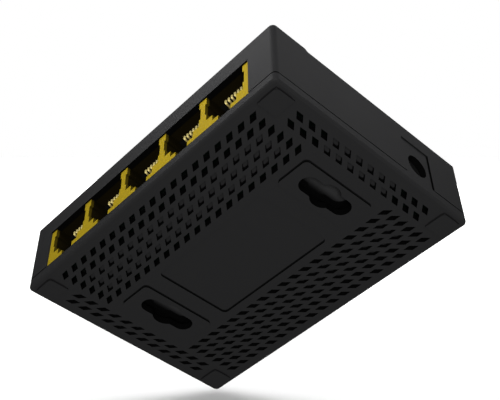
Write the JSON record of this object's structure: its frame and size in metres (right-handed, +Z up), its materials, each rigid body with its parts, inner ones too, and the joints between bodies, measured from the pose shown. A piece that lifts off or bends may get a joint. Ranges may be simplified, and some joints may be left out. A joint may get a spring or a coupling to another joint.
{
  "type": "ethernet switch",
  "caption": "Small black desktop network switch with a row of modular sockets, vented base with keyholes and a barrel power inlet.",
  "frame": {"origin": "middle of the case, in the plane of the four feet", "axes": "+X along the port side, ports face -Y, +Z up with the vented base down"},
  "size_m": [0.0864, 0.0614, 0.0203],
  "materials": {
    "top_case": "fine matte moulded black plastic",
    "base_case": "fine matte moulded black plastic",
    "jack_yellow": "satin moulded yellow plastic",
    "gilt_contact": "thin gold plating",
    "insert_black": "matte black plastic",
    "board_mask": "green solder mask",
    "inlet_black": "matte black plastic",
    "inlet_pin": "nickel plating",
    "inlet_spring": "tinned spring strip",
    "clear_guide": "clear acrylic, frosted on its ends",
    "lamp_body": "pale lamp resin",
    "transformer_case": "moulded black epoxy",
    "chip_case": "moulded black epoxy",
    "crystal_can": "plain metal lid",
    "capacitor_can": "bare can",
    "coil_core": "pressed ferrite powder",
    "ceramic": "fired ceramic",
    "ceramic_dark": "fired ceramic with a dark coat"
  },
  "bodies": {
    "root": {"top_cover": "top_case", "bottom_cover": "base_case", "jack_housing": "jack_yellow", "port_1_contacts": "gilt_contact", "port_2_contacts": "gilt_contact", "port_3_contacts": "gilt_contact", "port_4_contacts": "gilt_contact", "port_5_contacts": "gilt_contact", "port_1_insert": "insert_black", "port_2_insert": "insert_black", "port_3_insert": "insert_black", "port_4_insert": "insert_black", "port_5_insert": "insert_black", "circuit_board": "board_mask", "power_jack_body": "inlet_black", "power_jack_pin": "inlet_pin", "power_jack_spring": "inlet_spring", "light_guide": "clear_guide", "power_lamp": "lamp_body", "port_1_lamp": "lamp_body", "port_2_lamp": "lamp_body", "port_3_lamp": "lamp_body", "port_4_lamp": "lamp_body", "port_5_lamp": "lamp_body", "port_1_transformer": "transformer_case", "port_2_transformer": "transformer_case", "port_3_transformer": "transformer_case", "port_4_transformer": "transformer_case", "port_5_transformer": "transformer_case", "switch_chip": "chip_case", "settings_chip": "chip_case", "regulator_chip": "chip_case", "clock_crystal": "crystal_can", "input_capacitor": "capacitor_can", "power_coil": "coil_core", "decoupling_capacitors": "ceramic", "termination_resistors": "ceramic_dark"}
  },
  "joints": []
}
